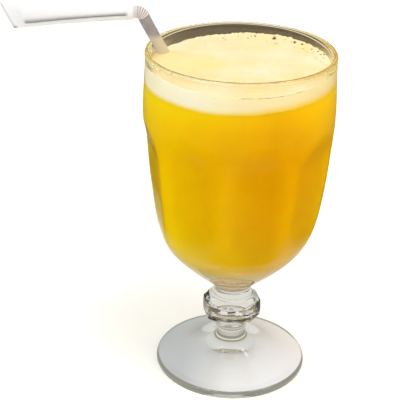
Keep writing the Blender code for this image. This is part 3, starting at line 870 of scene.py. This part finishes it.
def makeSleeve():
    bendStart, centre, axis, angle = strawBend()
    start = centre + Matrix.Rotation(angle, 3, axis) @ (bendStart - centre)
    along = straw["upperDirection"].normalized()
    level = along.cross(Vector((0.0, 0.0, 1.0))).normalized()
    across = Matrix.Rotation(math.radians(sleeve["tilt"]), 3, along) @ level
    base = (start, along, across.cross(along).normalized(), across)
    first, last = sleeve["sections"][0][0], sleeve["sections"][-1][0]
    turns = [math.tau * step / sleeve["steps"] for step in range(sleeve["steps"])]
    shares = [step / sleeve["stations"] for step in range(sleeve["stations"] + 1)]
    skins = []
    bm = bmesh.new()
    sleeveShadeLayer = bm.verts.layers.float.new("paintedSleeveShade")
    for inset, end in ((0.0, last), (sleeve["paper"], last - sleeve["seal"])):
        reaches = [first + (end - first) * share for share in shares]
        rings = [[sleevePoint(base, reach, turn, inset) for turn in turns] for reach in reaches]
        skins.append(tube(bm, rings))
    joinRings(bm, skins[0][0], skins[1][0])
    bm.faces.new(skins[0][-1])
    bm.faces.new(skins[1][-1])
    for share, ring in zip(shares, skins[0]):
        for vert, turn in zip(ring, turns):
            vert[sleeveShadeLayer] = paintedSleeveShade(first + (last - first) * share, turn)
    return addPiece("paperSleeve", bm, paperMaterial(), ["wrapper"], 50)


makeSleeve()


# studio: a pale floor, soft light, and darker surroundings that only gloss and clear glass show

studio = {
    "floorSize": 3.0,  # m
    "floorGap": 0.1,  # mm under the foot
    "daylight": 0.92,  # brightness that lights every matt surface
    "throughGlass": 1.8,  # share of it that makes up for what a glass wall takes
    "keyPower": 4.0, "keyPlace": (0.22, -0.22, 1.15), "keySize": (0.34, 0.34),  # W, m
    "glintPower": 1.7, "glintPlaces": ((-0.32, -0.04, 1.16), (0.41, 0.1, 1.13)), "glintSize": (0.26, 0.42),
    "aim": (0.0, 0.0, 0.1),  # m, what the lamps point at
}

card = {  # mm
    "halfSize": 900.0, "reach": 500.0,  # the stops of its outer tones are shares of the reach
    "footShade": 38.5, "footShadowLine": 35.8,  # radii of the painted shadow under the foot, and of its darker painted contact-shadow border
    "underFrom": 0.3,  # share of footShade behind the middle where the near tones start
    "patchDepth": (30.0, 120.0), "patchHalf": (100.0, 70.0),  # the pale patch behind the goblet
    "nearDepth": (-35.0, -60.0), "nearHalf": (90.0, 60.0),  # the shaded patch in front of it
}


def floorMaterial():
    # Matt white board, painted: pale, with a faint unevenness of the paint
    material, tree = newMaterial("mattWhiteBoard")
    place = addNode(tree, "TexCoord")
    paint = addNode(tree, "TexNoise", inputs={"Vector": (place, "Object"), "Scale": 8.0, "Detail": 2.0})
    tone = addNode(tree, "ValToRGB", inputs={"Fac": (paint, "Fac")}, stops=[
        (0.3, "F8F8F6"), (0.7, "FAFAF8"),
    ])
    shader = addNode(tree, "BsdfPrincipled", inputs={
        "Base Color": (tone, "Color"), "Roughness": 0.9, "Specular IOR Level": 0.1,
        "Emission Color": (0.8, 0.9, 1.0, 1.0), "Emission Strength": 0.1,
    })
    addNode(tree, "OutputMaterial", inputs={"Surface": (shader, "BSDF")})
    return material


def seenInGlass(tree):
    # 1 for what the camera sees reflected or through glass, 0 for light on its way to a matt surface
    ray = addNode(tree, "LightPath")
    clear = addNode(tree, "Math", "MAXIMUM", {0: (ray, "Is Glossy Ray"), 1: (ray, "Is Transmission Ray")})
    early = addNode(tree, "Math", "LESS_THAN", {0: (ray, "Diffuse Depth"), 1: 0.5})
    seen = addNode(tree, "Math", "MULTIPLY", {0: (clear, 0), 1: (early, 0)})
    return ray, seen


def cardPatch(tree, parts, aside, depth, half):
    # 1 on a patch of the card between two soft edges in depth and width
    start, full, outer, inner = (place * mm for place in (*depth, *half))
    inDepth = addNode(tree, "MapRange", inputs={"Value": (parts, "Y"), "From Min": start, "From Max": full})
    inWidth = addNode(tree, "MapRange", inputs={"Value": (aside, 0), "From Min": outer, "From Max": inner})
    return addNode(tree, "Math", "MULTIPLY", {0: (inDepth, "Result"), 1: (inWidth, "Result")})


def paintedShadowUnderFoot(tree, parts, away):
    # the card's painted shadow below the foot: cool and darker at -X, warm and lighter at +X, brighter in
    # front, with a darker border painted as a contact shadow
    half = card["footShade"] * mm
    across = sideToSide(tree, parts, half)
    ahead = addNode(tree, "MapRange", inputs={
        "Value": (parts, "Y"), "From Min": card["underFrom"] * half, "From Max": -half,
    })
    sides = addNode(tree, "ValToRGB", inputs={"Fac": (across, "Result")}, stops=[
        (0.08, "B5B8B8"), (0.3, "BEC0C0"), (0.5, "D6D4D1"), (0.95, "F8ECE3"),
    ])
    near = addNode(tree, "ValToRGB", inputs={"Fac": (across, "Result")}, stops=[
        (0.06, "D6D7D7"), (0.2, "C8CACB"), (0.48, (1.03, 1.02, 1.01, 1.0)), (0.8, (1.04, 1.03, 1.06, 1.0)),
    ])
    under = addNode(tree, "Mix", colourMix, {
        0: (ahead, "Result"), 6: (sides, "Color"), 7: (near, "Color"),
    })
    line = card["footShadowLine"] * mm
    edge = addNode(tree, "Math", "GREATER_THAN", {0: (away, "Value"), 1: line})
    return addNode(tree, "Mix", colourMix, {0: (edge, 0), 6: (under, 2), 7: "A8A69C"})


def tableCardMaterial():
    # Card that glows in soft tones that only gloss and clear glass show: pale by the foot, brown further
    # out, with a pale striped patch behind the goblet, which gives the lip its light and dark lines. Under
    # the foot it carries a painted shadow of the goblet.
    material, tree = newMaterial("glowingTableCard")
    place = addNode(tree, "TexCoord")
    away = addNode(tree, "VectorMath", "LENGTH", {0: (place, "Object")})
    share = addNode(tree, "MapRange", inputs={"Value": (away, "Value"), "From Max": card["reach"] * mm})
    parts = addNode(tree, "SeparateXYZ", inputs={"Vector": (place, "Object")})
    aside = addNode(tree, "Math", "ABSOLUTE", {0: (parts, "X")})
    around = addNode(tree, "ValToRGB", inputs={"Fac": (share, "Result")}, stops=[
        (0.085, "ECE8E0"), (0.18, "CCC8BE"), (0.28, "75652F"), (0.5, "5E5026"), (0.6, "A8924E"),
    ])
    striped = addNode(tree, "ValToRGB", inputs={"Fac": (share, "Result")}, stops=[
        (0.085, "F4F0E8"), (0.52, "F0EAE0"), (0.58, "5E5444"), (0.64, "5E5444"),
        (0.67, "F0E6E0"), (0.7, "ECE4E0"), (0.725, "544A3A"),
    ])
    shaded = cardPatch(tree, parts, aside, card["nearDepth"], card["nearHalf"])
    behind = cardPatch(tree, parts, aside, card["patchDepth"], card["patchHalf"])
    nearSide = addNode(tree, "Mix", colourMix, {0: (shaded, 0), 6: (around, "Color"), 7: "6A6252"})
    table = addNode(tree, "Mix", colourMix, {0: (behind, 0), 6: (nearSide, 2), 7: (striped, "Color")})
    # painted shadow of the goblet on the card under the foot
    paintedFootShadow = paintedShadowUnderFoot(tree, parts, away)
    footEdge = card["footShade"] * mm
    outside = addNode(tree, "Math", "GREATER_THAN", {0: (away, "Value"), 1: footEdge})
    spread = addNode(tree, "Mix", colourMix, {0: (outside, 0), 6: (paintedFootShadow, 2), 7: (table, 2)})
    glow = addNode(tree, "Emission", inputs={"Color": (spread, 2), "Strength": 1.0})
    hidden = addNode(tree, "BsdfTransparent")
    _, seen = seenInGlass(tree)
    mixed = addNode(tree, "MixShader", inputs={0: (seen, 0), 1: (hidden, "BSDF"), 2: (glow, "Emission")})
    addNode(tree, "OutputMaterial", inputs={"Surface": (mixed, "Shader")})
    return material


def stagePiece(name, halfSize, drop, material):
    # a square of the given half size in metres, lying under the foot
    bm = bmesh.new()
    bmesh.ops.create_grid(bm, x_segments=1, y_segments=1, size=halfSize)
    piece = meshObject(name, bm, material)
    piece.location.z = -drop * mm
    return piece


def softBox(name, size, place, power):
    data = bpy.data.lights.new(name, "AREA")
    data.shape, data.size, data.size_y = "RECTANGLE", size[0], size[1]
    data.energy = power
    box = bpy.data.objects.new(name, data)
    box.location = place
    box.rotation_euler = (Vector(studio["aim"]) - Vector(place)).to_track_quat("-Z", "Y").to_euler()
    bpy.context.scene.collection.objects.link(box)
    return box


def makeWorld():
    world = bpy.data.worlds.new("softStudio")
    bpy.context.scene.world = world
    world.use_nodes = True
    tree = world.node_tree
    tree.nodes.clear()
    place = addNode(tree, "TexCoord")
    parts = addNode(tree, "SeparateXYZ", inputs={"Vector": (place, "Generated")})
    across = addNode(tree, "MapRange", inputs={"Value": (parts, "X"), "From Min": -1.0})
    daylight = addNode(tree, "ValToRGB", inputs={"Fac": (across, "Result")}, stops=[
        (0.1, (1.14, 1.24, 1.3, 1.0)), (0.9, (1.02, 0.86, 0.68, 1.0)),
    ])
    room = addNode(tree, "ValToRGB", inputs={"Fac": (parts, "Z")}, stops=[
        (0.0, "6A6256"), (0.1, "857A5C"), (0.2, "B8A878"), (0.32, "D6D4CE"), (0.9, "F0F0F0"),
    ])
    ray, seen = seenInGlass(tree)
    through = addNode(tree, "MapRange", inputs={
        "Value": (ray, "Is Transmission Ray"), "To Min": 1.0, "To Max": studio["throughGlass"],
    })
    light = addNode(tree, "VectorMath", "SCALE", {0: (daylight, "Color"), "Scale": (through, "Result")})
    either = addNode(tree, "Mix", colourMix, {0: (seen, 0), 6: (light, "Vector"), 7: (room, "Color")})
    colour = addNode(tree, "Mix", colourMix, {0: (ray, "Is Camera Ray"), 6: (either, 2), 7: "F6F6F4"})
    back = addNode(tree, "Background", inputs={"Color": (colour, 2), "Strength": studio["daylight"]})
    addNode(tree, "OutputWorld", inputs={"Surface": (back, "Background")})


def makeStudio():
    stagePiece("floor", studio["floorSize"] / 2, studio["floorGap"], floorMaterial())
    sheet = stagePiece("tableCard", card["halfSize"] * mm, studio["floorGap"] / 2, tableCardMaterial())
    sheet.visible_camera = sheet.visible_shadow = sheet.visible_diffuse = False
    makeWorld()
    key = softBox("keyLight", studio["keySize"], studio["keyPlace"], studio["keyPower"])
    key.visible_glossy = False
    for index, spot in enumerate(studio["glintPlaces"]):  # small lights that show in the gloss alone
        glint = softBox(f"glint{index}", studio["glintSize"], spot, studio["glintPower"])
        glint.visible_diffuse = glint.visible_transmission = False
    bpy.context.scene.view_settings.view_transform = "Standard"


makeStudio()
print("studio set")
